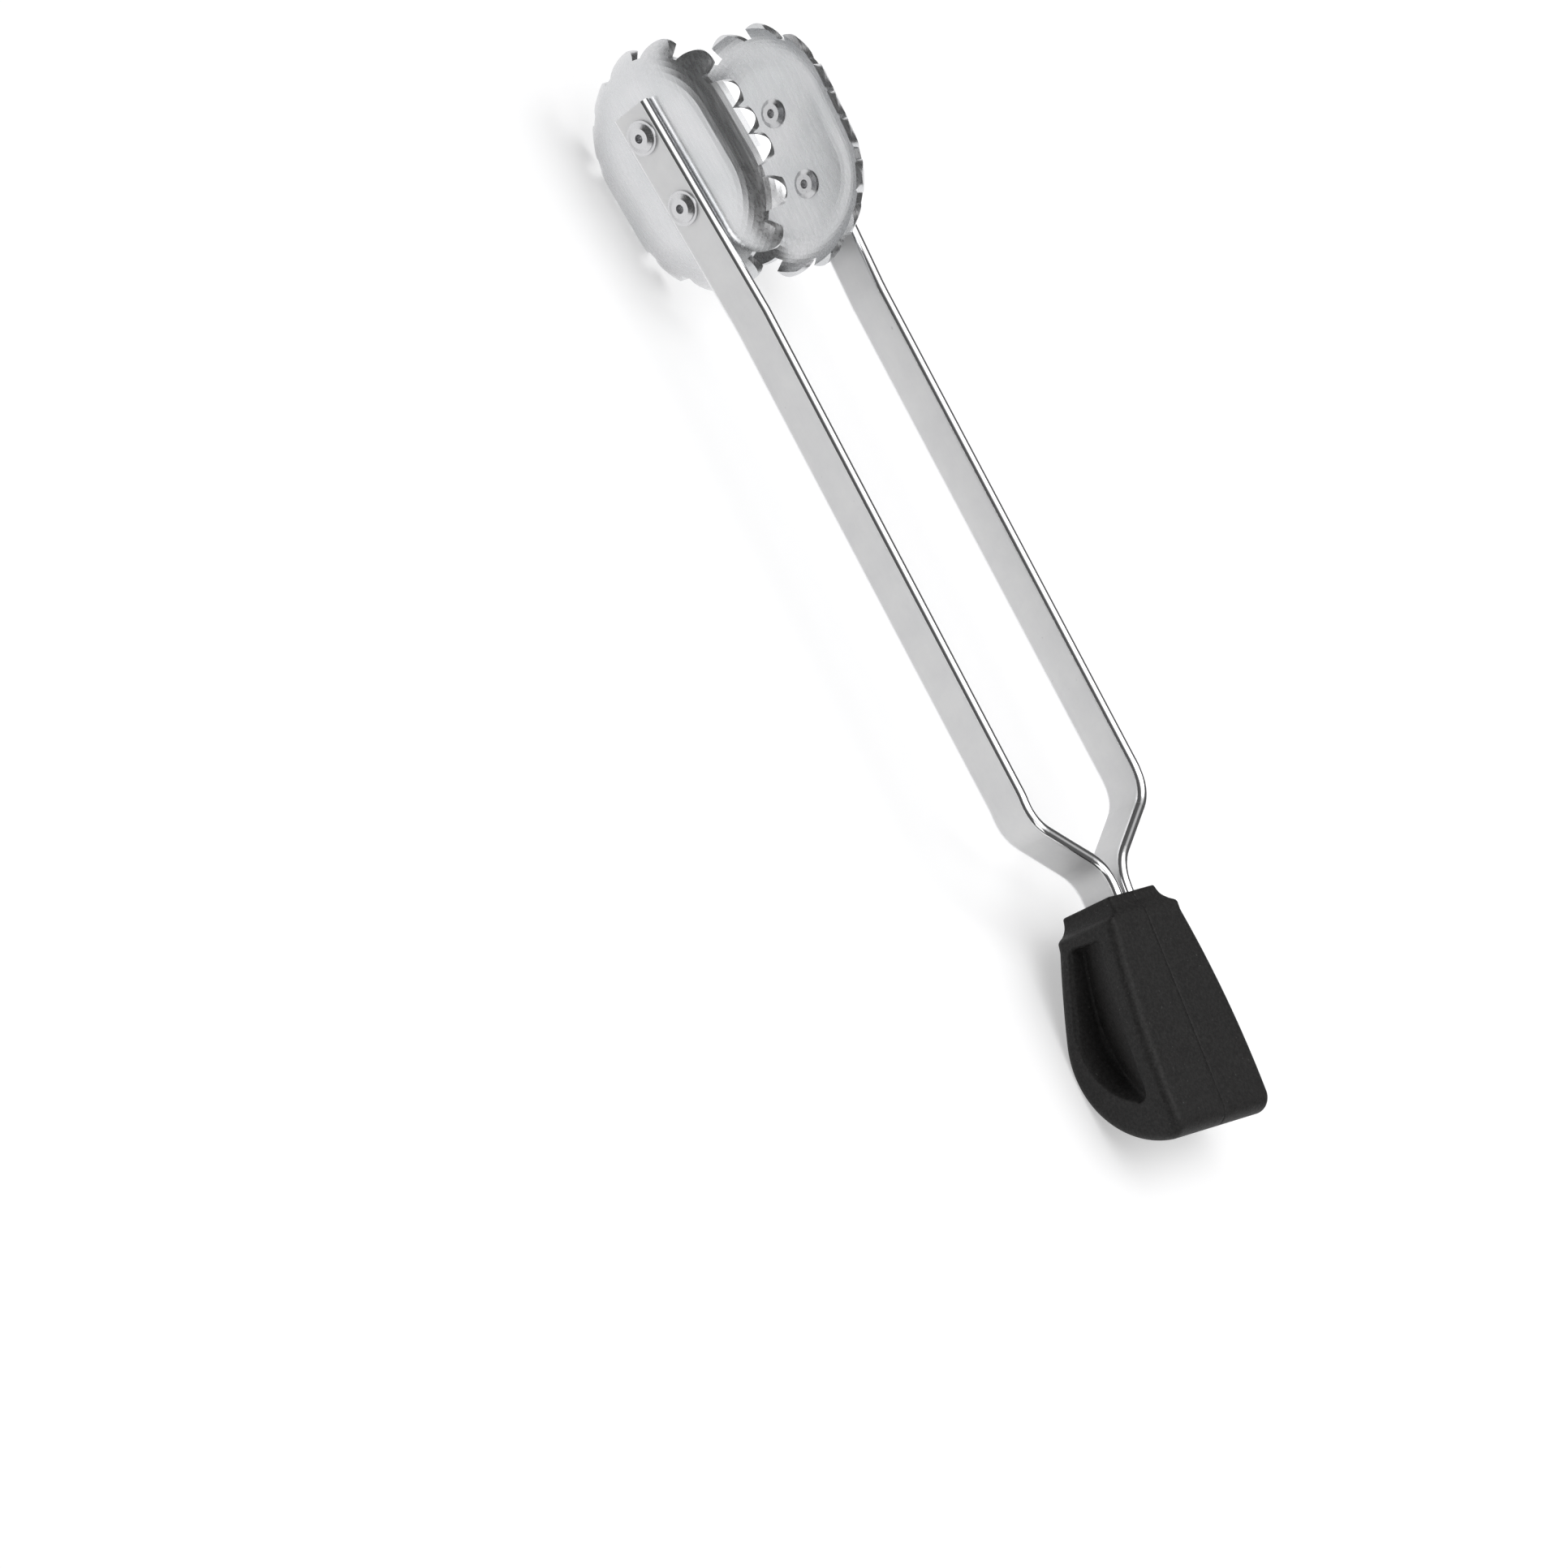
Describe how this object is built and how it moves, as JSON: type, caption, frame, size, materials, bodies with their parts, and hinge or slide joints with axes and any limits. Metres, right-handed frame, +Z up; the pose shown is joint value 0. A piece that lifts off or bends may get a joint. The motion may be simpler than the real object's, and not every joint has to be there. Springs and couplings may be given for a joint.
{
  "type": "kitchen tongs",
  "caption": "Spring loaded kitchen tongs: two flat steel arms with dished lobed heads, meeting in a Y neck and hinged in a black rubber foot.",
  "frame": {"origin": "centre of the bounding box, at the bottom, where the tongs lie on the heel of the foot and the rims of the heads", "axes": "+X runs along the arms towards the foot, +Y across the arms, +Z up from the surface it lies on"},
  "size_m": [0.2386, 0.0472, 0.0394],
  "materials": {
    "rubber": "matte, fine grain",
    "polished_steel": "polished",
    "satin_steel": "satin",
    "bright_steel": "bright, turned",
    "spring_steel": "drawn wire",
    "brass": "turned"
  },
  "bodies": {
    "foot": {"foot_left_shell": "rubber", "foot_right_shell": "rubber", "hinge_carrier": "bright_steel", "left_hinge_pin": "bright_steel", "right_hinge_pin": "bright_steel", "pin_retaining_rings": "spring_steel", "left_torsion_spring": "spring_steel", "right_torsion_spring": "spring_steel", "threaded_inserts": "brass", "shell_screws": "spring_steel"},
    "left_arm": {"left_arm": "polished_steel", "left_bushing": "brass", "left_head": "satin_steel", "left_head_rivets": "bright_steel", "left_rivet_washers": "bright_steel"},
    "right_arm": {"right_arm": "polished_steel", "right_bushing": "brass", "right_head": "satin_steel", "right_head_rivets": "bright_steel", "right_rivet_washers": "bright_steel"}
  },
  "joints": [
    {"name": "left_arm_close", "type": "hinge", "parent": "foot", "child": "left_arm", "pos_m": [0.07662, -0.0035, 0.01593], "axis": [-0.1305, 0, -0.9914], "range_deg": [0, 3.9], "stiffness_Nm_per_rad": 3, "springref_deg": -1.72, "deforming": ["left_torsion_spring"]},
    {"name": "right_arm_close", "type": "hinge", "parent": "foot", "child": "right_arm", "pos_m": [0.07662, 0.0035, 0.01593], "axis": [0.1305, 0, 0.9914], "range_deg": [0, 3.9], "stiffness_Nm_per_rad": 3, "springref_deg": -1.72, "deforming": ["right_torsion_spring"]}
  ]
}
